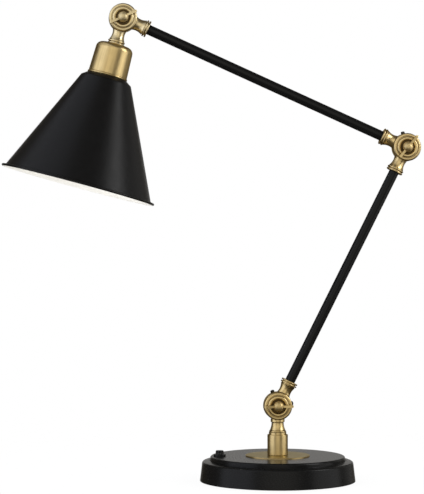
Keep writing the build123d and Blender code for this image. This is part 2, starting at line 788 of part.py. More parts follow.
def shade():
    """Spun conical shade with a shoulder, an out-turned flange and a rolled rim."""
    flange_end = (shade_mouth + SHADE_FLANGE_DROP, SHADE_MOUTH_RADIUS + SHADE_FLANGE_WIDTH)
    points = [
        (cup_mouth, HOLDER_RADIUS + LOOSE),
        (cup_mouth, SHADE_NECK_RADIUS),
        (shade_shoulder, SHADE_SHOULDER_RADIUS),
        (shade_mouth, SHADE_MOUTH_RADIUS),
        flange_end,
    ]
    rounds = [SHADE_WALL, SHADE_SHOULDER_ROUND, SHADE_FLANGE_ROUND]
    sheet = turned_x(sheet_outline(points, rounds, SHADE_WALL))
    roll = Pos(flange_end[0] + SHADE_WALL / 2, flange_end[1]) * Circle(SHADE_ROLL_RADIUS)
    return sheet + revolve(roll, Axis.X)


def shade_ring():
    """Ring nut on the lampholder's skirt that clamps the shade to the cup, notched for the fingers."""
    end = shade_inner_face + SHADE_RING_LENGTH
    ring = pipe_x(SHADE_RING_RADIUS, HOLDER_RADIUS + SLIP, shade_inner_face, end)
    for spot in PolarLocations(SHADE_RING_RADIUS, SHADE_RING_NOTCHES):
        ring -= Rot(0, 90, 0) * spot * rod_z(SHADE_RING_NOTCH_RADIUS, shade_inner_face, end)
    return ring


def bulb_cap():
    """Hollow screw cap of the bulb with its contact tip."""
    points = [
        (bulb_tip, 0),
        (bulb_tip, BULB_TIP_RADIUS),
        (bulb_cap_start, BULB_CAP_RADIUS),
        (bulb_glass_start, BULB_CAP_RADIUS),
    ]
    return turned_x(sheet_outline(points, [0, 0], BULB_CAP_WALL))


def bulb_form(shrink, start):
    """Solid pear form of the bulb, smaller all round by shrink."""
    radius = BULB_RADIUS - shrink
    collar = BULB_NECK_RADIUS - shrink
    mouth = BULB_CAP_RADIUS - shrink
    neck_end = bulb_glass_start + BULB_NECK_LENGTH
    centre = bulb_glass_start + BULB_CENTRE_DISTANCE
    span = hypot(neck_end - centre, collar)
    tangent_angle = atan2(collar, neck_end - centre) - acos(radius / span)
    touch = (centre + radius * cos(tangent_angle), radius * sin(tangent_angle))
    side = (centre + radius * cos(tangent_angle / 2), radius * sin(tangent_angle / 2))
    pole = (centre + radius, 0)
    straight = Polyline(pole, (start, 0), (start, mouth), (neck_end, collar), touch)
    return revolve(make_face(straight + ThreePointArc(touch, side, pole)), Axis.X)


def bulb_glass():
    """Hollow glass envelope, open towards the cap."""
    return bulb_form(0, bulb_glass_start) - bulb_form(BULB_GLASS_WALL, bulb_glass_start - BULB_GLASS_WALL)


# Places of the joints

shoulder = Vector(0, 0, shoulder_height)
elbow = reach(shoulder, LOWER_ARM_ANGLE, LOWER_ARM_LENGTH)
head = reach(elbow, UPPER_ARM_ANGLE, UPPER_ARM_LENGTH)
pivots = {"shoulder": shoulder, "elbow": elbow, "head": head}

stem_frame = joint_plane(shoulder, STEM_ANGLE)
lower_arm_frame = joint_plane(shoulder, LOWER_ARM_ANGLE)
elbow_down_frame = joint_plane(elbow, LOWER_ARM_ANGLE + HALF_TURN)
upper_arm_frame = joint_plane(elbow, UPPER_ARM_ANGLE)
head_back_frame = joint_plane(head, UPPER_ARM_ANGLE + HALF_TURN)
head_frame = joint_plane(head, HEAD_ANGLE)

arm_half = arm_knuckle(neck(NECK_LENGTH, ARM_NECK_RINGS))

nodes = {
    "base_shell": base_shell(),
    "base_weight": base_weight(),
    "felt_pad": felt_pad(),
    "base_nipple": base_nipple(),
    "base_washer": base_washer(),
    "base_nut": base_nut(),
    "base_plate": base_plate(),
    "column": column(),
    "swivel_screw": swivel_screw(),
    "cord_bush": cord_bush(),
    "switch_body": switch_body(),
    "switch_nut": switch_nut(),
    "switch_shaft": switch_shaft(),
    "switch_knob": switch_knob(),
    "swivel_washer": swivel_washer(),
    "shoulder_front_knuckle": stem_frame * stem_knuckle(),
    "shoulder_rear_knuckle": lower_arm_frame * drilled_rear(arm_half, SHOULDER_RIM_SCREW_ANGLES),
    "shoulder_rim_screws": lower_arm_frame * rim_screws(SHOULDER_RIM_SCREW_ANGLES),
    "lower_arm_tube": lower_arm_frame * arm_tube(LOWER_ARM_LENGTH),
    "lower_arm_lead": lower_arm_frame * arm_lead(LOWER_ARM_LENGTH),
    "elbow_front_knuckle": elbow_down_frame * arm_half,
    "elbow_rear_knuckle": upper_arm_frame * drilled_rear(arm_half, ELBOW_RIM_SCREW_ANGLES),
    "elbow_rim_screw": upper_arm_frame * rim_screws(ELBOW_RIM_SCREW_ANGLES),
    "upper_arm_tube": upper_arm_frame * arm_tube(UPPER_ARM_LENGTH),
    "upper_arm_lead": upper_arm_frame * arm_lead(UPPER_ARM_LENGTH),
    "head_front_knuckle": head_back_frame * arm_half,
    "head_rear_knuckle": head_frame * rear(head_knuckle()),
    "head_nipple": head_frame * head_nipple(),
    "head_nut": head_frame * head_nut(),
    "socket_cup": head_frame * socket_cup(),
    "lampholder": head_frame * lampholder(),
    "screw_shell": head_frame * screw_shell(),
    "centre_contact": head_frame * centre_contact(),
    "shade": head_frame * shade(),
    "shade_ring": head_frame * shade_ring(),
    "bulb_cap": head_frame * bulb_cap(),
    "bulb_glass": head_frame * bulb_glass(),
}

wing_angles = {"shoulder": SHOULDER_WING_ANGLE, "elbow": ELBOW_WING_ANGLE, "head": HEAD_WING_ANGLE}
for joint, pivot in pivots.items():
    frame = joint_plane(pivot, wing_angles[joint])
    nodes[f"{joint}_friction_washer"] = frame * friction_washer()
    nodes[f"{joint}_clamp_cup"] = frame * clamp_cup()
    nodes[f"{joint}_thumb_screw"] = frame * thumb_screw()
    nodes[f"{joint}_cap_nut"] = frame * rear(cap_nut())

os.makedirs("parts", exist_ok=True)
for name, solid in nodes.items():
    export_step(solid, f"parts/{name}.step")
for name, pivot in pivots.items():
    print(f"{name} joint at x {pivot.X:.3f}, z {pivot.Z:.3f}")
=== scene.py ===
import json
from math import cos, pi, radians, sin, tan

import bpy
import bmesh
from mathutils import Matrix, Vector


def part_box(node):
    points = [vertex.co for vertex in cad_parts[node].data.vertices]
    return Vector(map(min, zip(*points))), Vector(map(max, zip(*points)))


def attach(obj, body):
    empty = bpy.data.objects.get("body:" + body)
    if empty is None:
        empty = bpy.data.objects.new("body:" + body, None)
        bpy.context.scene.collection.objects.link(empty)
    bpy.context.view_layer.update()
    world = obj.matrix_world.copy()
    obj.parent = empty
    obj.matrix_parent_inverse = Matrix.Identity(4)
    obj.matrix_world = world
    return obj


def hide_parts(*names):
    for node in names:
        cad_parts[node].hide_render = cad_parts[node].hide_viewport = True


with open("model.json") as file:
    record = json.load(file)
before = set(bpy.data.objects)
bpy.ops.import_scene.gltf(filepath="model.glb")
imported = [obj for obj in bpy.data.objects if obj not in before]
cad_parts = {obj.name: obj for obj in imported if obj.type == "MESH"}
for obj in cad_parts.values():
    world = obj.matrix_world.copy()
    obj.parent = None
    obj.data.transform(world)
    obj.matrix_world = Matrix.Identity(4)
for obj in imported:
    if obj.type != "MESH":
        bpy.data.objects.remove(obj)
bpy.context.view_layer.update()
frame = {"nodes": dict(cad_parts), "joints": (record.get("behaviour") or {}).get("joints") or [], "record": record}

bl_info = {
    "name": "Adjustable Desk Lamp",
    "version": (1, 0, 0),
    "blender": (4, 5, 0),
    "location": "3D View > Sidebar > Lamp",
    "description": "Finishes and fine forms of a brass-jointed desk lamp, and the studio it stands in",
    "category": "Object",
}

MM = 0.001
PHOTO_WIDTH = 424
PHOTO_HEIGHT = 494


# Small helpers

def linear(code):
    """Linear colour of an sRGB hex value."""
    channels = [int(code[i:i + 2], 16) / 255 for i in (1, 3, 5)]
    return [c / 12.92 if c <= 0.04045 else ((c + 0.055) / 1.055) ** 2.4 for c in channels]


def add(tree, kind, inputs=None, **settings):
    """One new node: settings are its properties, inputs its sockets, each a value or a socket to link."""
    node = tree.nodes.new(kind)
    for name, value in settings.items():
        setattr(node, name, value)
    for key, value in (inputs or {}).items():
        if isinstance(value, bpy.types.NodeSocket):
            tree.links.new(value, node.inputs[key])
        else:
            node.inputs[key].default_value = value
    return node


def direction(azimuth, elevation):
    """Unit vector at an azimuth, from the viewer's side to the right, and an elevation, in degrees."""
    level = cos(radians(elevation))
    return Vector((sin(radians(azimuth)) * level, -cos(radians(azimuth)) * level, sin(radians(elevation))))


def joint(name):
    """Place of a joint in the frame."""
    return Vector(next(j["pos_m"] for j in frame["joints"] if j["name"] == name))


# The head's axis runs from its joint down through the cup and the shade; the pins point at the viewer
HEAD_JOINT = joint("head_tilt")
HEAD_ANGLE = radians(255.0)
HEAD_AXIS = Vector((cos(HEAD_ANGLE), 0, sin(HEAD_ANGLE)))
PIN_AXIS = Vector((0, -1, 0))
UP_AXIS = Vector((0, 0, 1))


# Sizes and colours that a user would change

def length(name, description, millimetres):
    """Property for a length, given in millimetres."""
    return bpy.props.FloatProperty(
        name=name, description=description, default=millimetres * MM, unit="LENGTH", subtype="DISTANCE",
        precision=5)


def angle(name, description, degrees):
    """Property for an angle, given in degrees."""
    return bpy.props.FloatProperty(
        name=name, description=description, default=radians(degrees), subtype="ANGLE")


def colour(name, description, code):
    """Property for a colour, given as an sRGB hex value."""
    return bpy.props.FloatVectorProperty(
        name=name, description=description, default=linear(code), size=3, min=0, max=1, subtype="COLOR")


class LampFinishes(bpy.types.PropertyGroup):
    brass: colour("Brass", "Rubbed, bright parts of the antique brass", "#e5cb91")
    # Patina colour, laid also as painted shade in the creases and in the well round each hub
    patina_and_shade: colour("Patina", "Brown left in the recesses of the brass", "#38250a")
    # The elbow's and the head's brass are painted paler: painted light for the brighter light that falls on the
    # upper joints
    brass_elbow_painted_lighter: colour("Elbow brass", "Brass of the elbow, paler from handling", "#eed59d")
    brass_head_painted_lighter: colour("Head brass", "Brass of the head's joint, handled the most", "#f2dfb0")
    brass_slant: colour("Brass slant", "Tint of the brass seen at a slant", "#a89f8a")
    olive: colour("Olive", "Dull film on the plate under the column", "#8f835c")
    olive_slant: colour("Olive slant", "Tint of the dull film seen at a slant", "#fff6dd")
    black_coat: colour("Black coat", "Powder coat of the base and the arms", "#101010")
    black_enamel: colour("Black enamel", "Outside of the shade", "#0b0b0c")
    white_enamel: colour("White enamel", "Inside of the shade", "#fbf8f0")


class LampShade(bpy.types.PropertyGroup):
    neck_radius: length("Neck radius", "Radius where the shade meets the cup", 25.4)
    shoulder_radius: length("Shoulder radius", "Radius at the foot of the shoulder", 31.8)
    mouth_radius: length("Mouth radius", "Radius at the open end, without the flange", 93.3)
    flange_width: length("Flange width", "Width of the out-turned flange", 2.6)
    roll_radius: length("Roll radius", "Radius of the rolled rim", 1.5)
    wall: length("Wall", "Thickness of the sheet", 0.9)
    cup_mouth: length("Cup mouth", "Distance from the head's joint to the shade's flat top", 75.7)
    shoulder_length: length("Shoulder length", "Length of the shoulder along the axis", 4.5)
    cone_length: length("Cone length", "Length of the cone along the axis", 133.7)
    hole_radius: length("Hole radius", "Radius of the hole round the lampholder", 19.1)
    shoulder_round: length("Shoulder round", "Rounding of the shoulder outside", 3.0)
    lining_round: length("Lining round", "Rounding of the shoulder inside", 2.2)
    mouth_round: length("Mouth round", "Rounding of the cone where the flange starts", 1.5)


class LampBase(bpy.types.PropertyGroup):
    flutes: bpy.props.IntProperty(
        name="Flutes", description="Number of finger flutes round the switch knob", default=8, min=0)
    flute_depth: length("Flute depth", "Depth of each flute", 0.9)
    crown: length("Crown", "Rounding of the knob's upper edge", 1.0)
    felt_edge: length("Felt edge", "Rounding of the felt's lower edge", 0.9)


class LampScrews(bpy.types.PropertyGroup):
    head_radius: length("Head radius", "Radius of a rim screw's head", 2.5)
    head_height: length("Head height", "Height of a rim screw's head", 3.8)
    slot: length("Slot", "Width of the slot in a rim screw's head", 0.8)
    seat: length("Seat", "Distance from the joint's axis to the foot of a head", 16.9)
    setback: length("Setback", "Distance of the screws behind the joint's middle", 5.0)
    shoulder_upper: angle("Shoulder upper", "Direction of the shoulder's upper screw", 109.03)
    shoulder_right: angle("Shoulder right", "Direction of the shoulder's right screw", 8.03)
    elbow_upper: angle("Elbow upper", "Direction of the elbow's screw", 100.91)


class LampStage(bpy.types.PropertyGroup):
    camera_distance: length("Camera distance", "Level distance from the aim to the camera", 2300.0)
    camera_height: length("Camera height", "Height of the camera over the table", 299.0)
    camera_yaw: angle("Camera yaw", "Turn of the camera to the lamp's left", 4.5)
    aim_x: length("Aim x", "Point that the camera looks at, across", -82.3)
    aim_z: length("Aim z", "Point that the camera looks at, up", 292.5)
    focal: bpy.props.FloatProperty(
        name="Focal length", description="Focal length in pixels of the picture", default=1845.2,
        subtype="PIXEL")
    box_distance: length("Box distance", "Distance of the soft boxes from the lamp", 2000.0)
    floor_hole: length("Floor hole", "Radius of the hole in the floor under the base", 94.0)
    floor_reach: length("Floor reach", "Radius of the floor", 4000.0)
    fade_start: length("Fade start", "Distance at which the floor starts to fade", 200.0)
    fade_end: length("Fade end", "Distance at which the floor is gone", 600.0)


# Materials

# Most of a noise's values lie between these two
NOISE_LOW = 0.3
NOISE_HIGH = 0.7

# Marks that rubbing and turning left on the brass
CLOUD_SIZE = 9 * MM
STREAK_WIDTH = 3 * MM
STREAK_SQUEEZE = 0.03
# Reach of the occlusion that paints shade, together with the patina, into the brass's creases
CREASE_SHADE_REACH = 3 * MM
CUP_STREAKS = 0.17
COLUMN_STREAKS = 0.14
MARK_SPACING = 1.2 * MM
MARK_DEPTH = 0.2 * MM

# Well and dome of a thumb screw: radii round the pin, and heights along it from the middle of the joint
# The well gets patina and painted shade, darker towards its floor
WELL_RADIUS = 9.8 * MM
WELL_DARK_RADIUS = 9.0 * MM
WELL_FOOT = 7.0 * MM
WELL_DARK_HEIGHT = 9.0 * MM
WELL_BRIGHT_HEIGHT = 10.2 * MM
DOME_FOOT = 11.0 * MM
DOME_RADIUS = 6.8 * MM

# Thread of the bulb's cap
THREAD_PITCH = 3.6 * MM
THREAD_DEPTH = 0.6 * MM

# Roughness of the shade's two enamels
OUTER_ENAMEL_ROUGHNESS = 0.36
INNER_ENAMEL_ROUGHNESS = 0.35


def new_material(name):
    """Empty material, its node tree and the object's own coordinates."""
    made = bpy.data.materials.new(name)
    made.use_nodes = True
    tree = made.node_tree
    tree.nodes.clear()
    return made, tree, add(tree, "ShaderNodeTexCoord").outputs["Object"]


def coat(tree, inputs):
    """Closes a material's tree with a principled shader that has these inputs."""
    shader = add(tree, "ShaderNodeBsdfPrincipled", inputs)
    add(tree, "ShaderNodeOutputMaterial", {"Surface": shader.outputs[0]})


def along_axis(tree, place, origin, axis):
    """Coordinates counted from an origin, with Z along an axis."""
    turn = axis.to_track_quat("Z", "Y").to_euler()
    return add(tree, "ShaderNodeMapping", {"Vector": place, "Location": origin, "Rotation": turn},
               vector_type="TEXTURE").outputs[0]


def mottled(name, dark, light, patch, roughness, relief, inputs=None):
    """Material whose colour, gloss and surface vary a little in patches of a given size."""
    made, tree, place = new_material(name)
    cloud = add(tree, "ShaderNodeTexNoise", {
        "Vector": place, "Scale": 1 / patch, "Detail": 4.0}).outputs["Fac"]
    tint = add(tree, "ShaderNodeMix", {0: cloud, 6: (*dark, 1), 7: (*light, 1)}, data_type="RGBA")
    gloss = add(tree, "ShaderNodeMapRange", {
        "Value": cloud, "From Min": NOISE_LOW, "From Max": NOISE_HIGH,
        "To Min": roughness * 0.9, "To Max": roughness * 1.1})
    bump = add(tree, "ShaderNodeBump", {"Height": cloud, "Strength": relief, "Distance": patch / 5})
    coat(tree, {
        "Base Color": tint.outputs[2], "Roughness": gloss.outputs[0], "Normal": bump.outputs[0],
        **(inputs or {})})
    return made


def filmed(tree, axis, metal, film):
    """Dull film on the face across the axis, with the rim round it rubbed bright."""
    normal = add(tree, "ShaderNodeNewGeometry").outputs["Normal"]
    facing = add(tree, "ShaderNodeVectorMath", {0: normal, 1: axis}, operation="DOT_PRODUCT")
    flat = add(tree, "ShaderNodeMath", {0: facing.outputs["Value"], 1: 0.9}, operation="GREATER_THAN")
    return add(tree, "ShaderNodeMix", {0: flat.outputs[0], 6: (*metal, 1), 7: (*film, 1)},
               data_type="RGBA").outputs[2]


def end_to_end_streaks(tree, local, depth):
    """Share of brown in the streaks of a part that was rubbed from end to end."""
    drawn = add(tree, "ShaderNodeMapping", {"Vector": local, "Scale": (1.0, 1.0, STREAK_SQUEEZE)})
    hair = add(tree, "ShaderNodeTexNoise", {
        "Vector": drawn.outputs[0], "Scale": 1 / STREAK_WIDTH, "Detail": 2.0})
    return add(tree, "ShaderNodeMapRange", {
        "Value": hair.outputs["Fac"], "From Min": 0.35, "From Max": 0.65,
        "To Min": 0.0, "To Max": depth}).outputs[0]


def well_patina_and_shade(tree, radius, height):
    """Share of patina and painted shade in the ring-shaped well round a thumb screw's hub, darker towards its
    floor.
    """
    inside = add(tree, "ShaderNodeMapRange", {
        "Value": radius, "From Min": WELL_RADIUS, "From Max": WELL_DARK_RADIUS},
        interpolation_type="SMOOTHSTEP")
    deep = add(tree, "ShaderNodeMapRange", {
        "Value": height, "From Min": WELL_BRIGHT_HEIGHT, "From Max": WELL_DARK_HEIGHT, "To Max": 0.93},
        interpolation_type="SMOOTHSTEP")
    front = add(tree, "ShaderNodeMath", {0: height, 1: WELL_FOOT}, operation="GREATER_THAN")
    low = add(tree, "ShaderNodeMath", {0: deep.outputs[0], 1: front.outputs[0]}, operation="MULTIPLY")
    return add(tree, "ShaderNodeMath", {0: inside.outputs[0], 1: low.outputs[0]},
               operation="MULTIPLY").outputs[0]


def brass_roughness(tree, cloud, radius, height):
    """Cloudy gloss of the rubbed brass, and a rougher dome on the hub, which is left as cast."""
    rubbed = add(tree, "ShaderNodeMapRange", {
        "Value": cloud, "From Min": NOISE_LOW, "From Max": NOISE_HIGH, "To Min": 0.30, "To Max": 0.37})
    before = add(tree, "ShaderNodeMath", {0: height, 1: DOME_FOOT}, operation="GREATER_THAN")
    slim = add(tree, "ShaderNodeMath", {0: radius, 1: DOME_RADIUS}, operation="LESS_THAN")
    domed = add(tree, "ShaderNodeMath", {0: before.outputs[0], 1: slim.outputs[0]}, operation="MULTIPLY")
    return add(tree, "ShaderNodeMix", {0: domed.outputs[0], 2: rubbed.outputs[0], 3: 0.52}).outputs[0]


def turning_marks(tree, radius):
    """Relief of the turning marks. At 0.3 mm they are too fine to show, so they are drawn 1.2 mm apart."""
    rings = add(tree, "ShaderNodeTexNoise", {"W": radius, "Scale": 1 / MARK_SPACING, "Detail": 2.0},
                noise_dimensions="1D")
    return add(tree, "ShaderNodeBump", {
        "Height": rings.outputs["Fac"], "Strength": 0.05, "Distance": MARK_DEPTH}).outputs[0]


def antique_brass(name, origin, axis, metal=None, film=None, streaks=0.0):
    """Brass browned and rubbed back: bright edges, recesses darkened by patina and painted shade, marks round an
    axis, streaks along it.
    """
    finishes = bpy.context.scene.lamp_finishes
    metal = metal or finishes.brass
    made, tree, place = new_material(name)
    local = along_axis(tree, place, origin, axis)
    spot = add(tree, "ShaderNodeSeparateXYZ", {0: local}).outputs
    level = add(tree, "ShaderNodeCombineXYZ", {"X": spot["X"], "Y": spot["Y"]})
    radius = add(tree, "ShaderNodeVectorMath", {0: level.outputs[0]}, operation="LENGTH").outputs["Value"]
    # Rubbing left slightly darker clouds about as large as a fingertip
    cloud = add(tree, "ShaderNodeTexNoise", {
        "Vector": local, "Scale": 1 / CLOUD_SIZE, "Detail": 3.0}).outputs["Fac"]
    tone = add(tree, "ShaderNodeMapRange", {
        "Value": cloud, "From Min": NOISE_LOW, "From Max": NOISE_HIGH, "To Min": 0.0, "To Max": 0.12})
    bright = filmed(tree, axis, metal, film) if film else (*metal, 1)
    dull = (*[c * 0.6 for c in metal], 1)
    rubbed = add(tree, "ShaderNodeMix", {0: tone.outputs[0], 6: bright, 7: dull}, data_type="RGBA")
    # Brown stays in the streaks; the well and the creases that the occlusion finds get patina and painted shade
    shut = add(tree, "ShaderNodeAmbientOcclusion", {"Distance": CREASE_SHADE_REACH}, samples=12)
    open_share = add(tree, "ShaderNodeMapRange", {
        "Value": shut.outputs["AO"], "From Min": 0.1, "From Max": 0.6, "To Min": 0.55})
    brown_and_shade = add(tree, "ShaderNodeMath", {
        0: well_patina_and_shade(tree, radius, spot["Z"]), 1: end_to_end_streaks(tree, local, streaks)}, operation="ADD")
    clean_and_unshaded = add(tree, "ShaderNodeMath", {0: open_share.outputs[0], 1: brown_and_shade.outputs[0]},
                operation="SUBTRACT", use_clamp=True)
    aged_and_shaded = add(tree, "ShaderNodeMix", {
        0: clean_and_unshaded.outputs[0], 6: (*finishes.patina_and_shade, 1), 7: rubbed.outputs[2]}, data_type="RGBA")
    # Clean metal turns white at a slant, but browned metal darkens and the film keeps its tint
    slant = finishes.olive_slant if film else finishes.brass_slant
    coat(tree, {
        "Base Color": aged_and_shaded.outputs[2], "Roughness": brass_roughness(tree, cloud, radius, spot["Z"]),
        "Normal": turning_marks(tree, radius), "Metallic": 1.0, "Specular Tint": (*slant, 1)})
    return made


def powder_coat(name, paint):
    """Black powder coat: a satin skin with a fine peel that softens the highlights."""
    dark = [c * 0.8 for c in paint]
    light = [c * 1.25 for c in paint]
    return mottled(name, dark, light, 1.2 * MM, 0.27, 0.02, {"Specular IOR Level": 0.17})


def stoved_enamel(name, paint, roughness):
    """Stoved enamel on spun sheet: smoother than the coat, with a slow ripple in its gloss."""
    dark = [c * 0.94 for c in paint]
    return mottled(name, dark, paint, 6 * MM, roughness, 0.03, {"Specular IOR Level": 0.27})


def cast_iron():
    """Raw casting: dull grey with a sandy skin."""
    return mottled("Cast Iron", linear("#343331"), linear("#66645f"), 1.6 * MM, 0.65, 0.6, {"Metallic": 1.0})


def felt():
    """Dark wool felt: a matt, hairy surface with a soft sheen, its hair drawn coarse enough to show."""
    return mottled(
        "Wool Felt", linear("#0c0c0d"), linear("#333334"), 1.5 * MM, 0.95, 0.9, {"Sheen Weight": 0.15})


def zinc_steel():
    """Zinc-plated steel: pale grey with a bluish bloom."""
    return mottled(
        "Zinc Plated Steel", linear("#9da0a4"), linear("#c9c7c0"), 2.5 * MM, 0.35, 0.05, {"Metallic": 1.0})


def black_steel():
    """Blued steel: nearly black, worn to grey in spots on the corners."""
    return mottled(
        "Blued Steel", linear("#1d1c1c"), linear("#4c4946"), 1.0 * MM, 0.38, 0.1, {"Metallic": 1.0})


def black_plastic():
    """Moulded thermoset: deep black with a faint spark-eroded grain."""
    return mottled(
        "Moulded Plastic", linear("#060606"), linear("#0e0e0e"), 0.5 * MM, 0.36, 0.12,
        {"Specular IOR Level": 0.3})


def vulcanised_fibre():
    """Red-brown fibre washer with a cloudy, pressed surface."""
    return mottled("Vulcanised Fibre", linear("#2a1c14"), linear("#4d3527"), 1.5 * MM, 0.75, 0.3)


def lead_sheath():
    """Rubber-like cord sheath, dull and a little dusty."""
    return mottled("Cord Sheath", linear("#141414"), linear("#262626"), 2.0 * MM, 0.6, 0.2)


def porcelain():
    """Glazed porcelain: warm white, glossy, with a slow waviness of the glaze."""
    return mottled("Glazed Porcelain", linear("#dcd6c8"), linear("#efeae0"), 5 * MM, 0.12, 0.06)


def contact_brass():
    """Bright stamped brass of the contacts, lightly tarnished."""
    return mottled(
        "Contact Brass", linear("#b08f3f"), linear("#dcbc69"), 2.0 * MM, 0.3, 0.05, {"Metallic": 1.0})


def bulb_cap_metal():
    """Nickelled screw cap: the thread shows as rounded ridges along the axis."""
    made = mottled(
        "Nickelled Cap", linear("#aaa9a4"), linear("#d0cfca"), 2.0 * MM, 0.28, 0.05, {"Metallic": 1.0})
    tree = made.node_tree
    along = along_axis(tree, add(tree, "ShaderNodeTexCoord").outputs["Object"], HEAD_JOINT, HEAD_AXIS)
    # The wave texture repeats each 2 pi / 20 units at scale 1
    ridge = add(tree, "ShaderNodeTexWave", {"Vector": along, "Scale": 2 * pi / 20 / THREAD_PITCH},
                bands_direction="Z", wave_profile="SIN")
    bump = add(tree, "ShaderNodeBump", {
        "Height": ridge.outputs["Fac"], "Strength": 1.0, "Distance": THREAD_DEPTH})
    tree.links.new(bump.outputs[0], tree.nodes["Principled BSDF"].inputs["Normal"])
    return made


def opal_glass():
    """Opal bulb glass: milky white that lets some light through, with a glossy skin."""
    return mottled(
        "Opal Glass", linear("#ece8df"), linear("#fbf9f4"), 12 * MM, 0.15, 0.02,
        {"Transmission Weight": 0.25})


# Turned forms and screws

# How finely each form is cut up, round its axis and along its rounds
TURNED_STEPS = 128
SHADE_STEPS = 192
ROUND_STEPS = 6
RIM_STEPS = 12
SCREW_STEPS = 32
FLOOR_STEPS = 64

# Radius of the ring that a profile is carried round
PATH_RADIUS = 1 * MM

# Corners closer than this are joined, and edges that bend by more than this stay crisp
MERGE_DISTANCE = 0.001 * MM
SHARP_ANGLE = radians(40)


def form_tree(name, inputs):
    """Node tree that takes a mesh and these inputs, each with its kind of socket, and what they give."""
    tree = bpy.data.node_groups.new(name, "GeometryNodeTree")
    tree.interface.new_socket("Geometry", in_out="INPUT", socket_type="NodeSocketGeometry")
    for label, kind in inputs.items():
        tree.interface.new_socket(label, in_out="INPUT", socket_type="NodeSocket" + kind)
    tree.interface.new_socket("Geometry", in_out="OUTPUT", socket_type="NodeSocketGeometry")
    return tree, add(tree, "NodeGroupInput").outputs


def turned_tree():
    """Node tree that turns a profile of edges, drawn in radius and height, round the Z axis."""
    tree, given = form_tree("Turned Form", {
        "Steps Around": "Int", "Steps in a Round": "Int", "Flutes": "Float", "Flute Depth": "Float",
        "Finish": "Material", "Lining": "Material"})
    # The profile, with its corners rounded, is carried round a small ring
    line = add(tree, "GeometryNodeMeshToCurve", {"Mesh": given["Geometry"]})
    bend = add(tree, "GeometryNodeInputNamedAttribute", {"Name": "round"}, data_type="FLOAT")
    filleted = add(tree, "GeometryNodeFilletCurve", {
        "Curve": line.outputs[0], "Radius": bend.outputs[0], "Count": given["Steps in a Round"]},
        mode="POLY")
    spot = add(tree, "ShaderNodeSeparateXYZ", {0: add(tree, "GeometryNodeInputPosition").outputs[0]})
    inset = add(tree, "ShaderNodeMath", {0: spot.outputs["X"], 1: PATH_RADIUS}, operation="SUBTRACT")
    down = add(tree, "ShaderNodeMath", {0: spot.outputs["Z"], 1: -1.0}, operation="MULTIPLY")
    flat = add(tree, "ShaderNodeCombineXYZ", {"X": inset.outputs[0], "Y": down.outputs[0]})
    profile = add(tree, "GeometryNodeSetPosition", {
        "Geometry": filleted.outputs[0], "Position": flat.outputs[0]})
    path = add(tree, "GeometryNodeCurvePrimitiveCircle", {
        "Resolution": given["Steps Around"], "Radius": PATH_RADIUS}, mode="RADIUS")
    turned = add(tree, "GeometryNodeCurveToMesh", {
        "Curve": path.outputs[0], "Profile Curve": profile.outputs[0]})
    # Flutes sink in where the profile is marked for them
    where = add(tree, "ShaderNodeSeparateXYZ", {0: add(tree, "GeometryNodeInputPosition").outputs[0]})
    bearing = add(tree, "ShaderNodeMath", {
        0: where.outputs["Y"], 1: where.outputs["X"]}, operation="ARCTAN2")
    waves = add(tree, "ShaderNodeMath", {0: bearing.outputs[0], 1: given["Flutes"]}, operation="MULTIPLY")
    wave = add(tree, "ShaderNodeMath", {0: waves.outputs[0]}, operation="COSINE")
    low = add(tree, "ShaderNodeMapRange", {
        "Value": wave.outputs[0], "From Min": -0.2, "From Max": 1.0}, interpolation_type="SMOOTHSTEP")
    fluted = add(tree, "GeometryNodeInputNamedAttribute", {"Name": "fluted"}, data_type="FLOAT")
    depth = add(tree, "ShaderNodeMath", {0: low.outputs[0], 1: given["Flute Depth"]}, operation="MULTIPLY")
    cut = add(tree, "ShaderNodeMath", {0: depth.outputs[0], 1: fluted.outputs[0]}, operation="MULTIPLY")
    level = add(tree, "ShaderNodeCombineXYZ", {"X": where.outputs["X"], "Y": where.outputs["Y"]})
    outward = add(tree, "ShaderNodeVectorMath", {0: level.outputs[0]}, operation="NORMALIZE")
    back = add(tree, "ShaderNodeMath", {0: cut.outputs[0], 1: -1.0}, operation="MULTIPLY")
    inward = add(tree, "ShaderNodeVectorMath", {0: outward.outputs[0], "Scale": back.outputs[0]},
                 operation="SCALE")
    grooved = add(tree, "GeometryNodeSetPosition", {
        "Geometry": turned.outputs[0], "Offset": inward.outputs[0]})
    # The seam is closed, and the finish and the lining are laid on
    joined = add(tree, "GeometryNodeMergeByDistance", {
        "Geometry": grooved.outputs[0], "Distance": MERGE_DISTANCE})
    bent = add(tree, "GeometryNodeInputMeshEdgeAngle")
    sharp = add(tree, "FunctionNodeCompare", {0: bent.outputs["Unsigned Angle"], 1: SHARP_ANGLE},
                data_type="FLOAT", operation="GREATER_THAN")
    smooth = add(tree, "GeometryNodeSetShadeSmooth", {"Geometry": joined.outputs[0]})
    crisp = add(tree, "GeometryNodeStoreNamedAttribute", {
        "Geometry": smooth.outputs[0], "Name": "sharp_edge", "Value": sharp.outputs[0]},
        data_type="BOOLEAN", domain="EDGE")
    real = add(tree, "GeometryNodeRealizeInstances", {"Geometry": crisp.outputs[0]})
    coated = add(tree, "GeometryNodeSetMaterial", {"Geometry": real.outputs[0], "Material": given["Finish"]})
    inner = add(tree, "GeometryNodeInputNamedAttribute", {"Name": "lining"}, data_type="FLOAT")
    is_inner = add(tree, "FunctionNodeCompare", {0: inner.outputs[0], 1: 0.99},
                   data_type="FLOAT", operation="GREATER_THAN")
    lined = add(tree, "GeometryNodeSetMaterial", {
        "Geometry": coated.outputs[0], "Selection": is_inner.outputs[0], "Material": given["Lining"]})
    add(tree, "NodeGroupOutput", {0: lined.outputs[0]})
    return tree


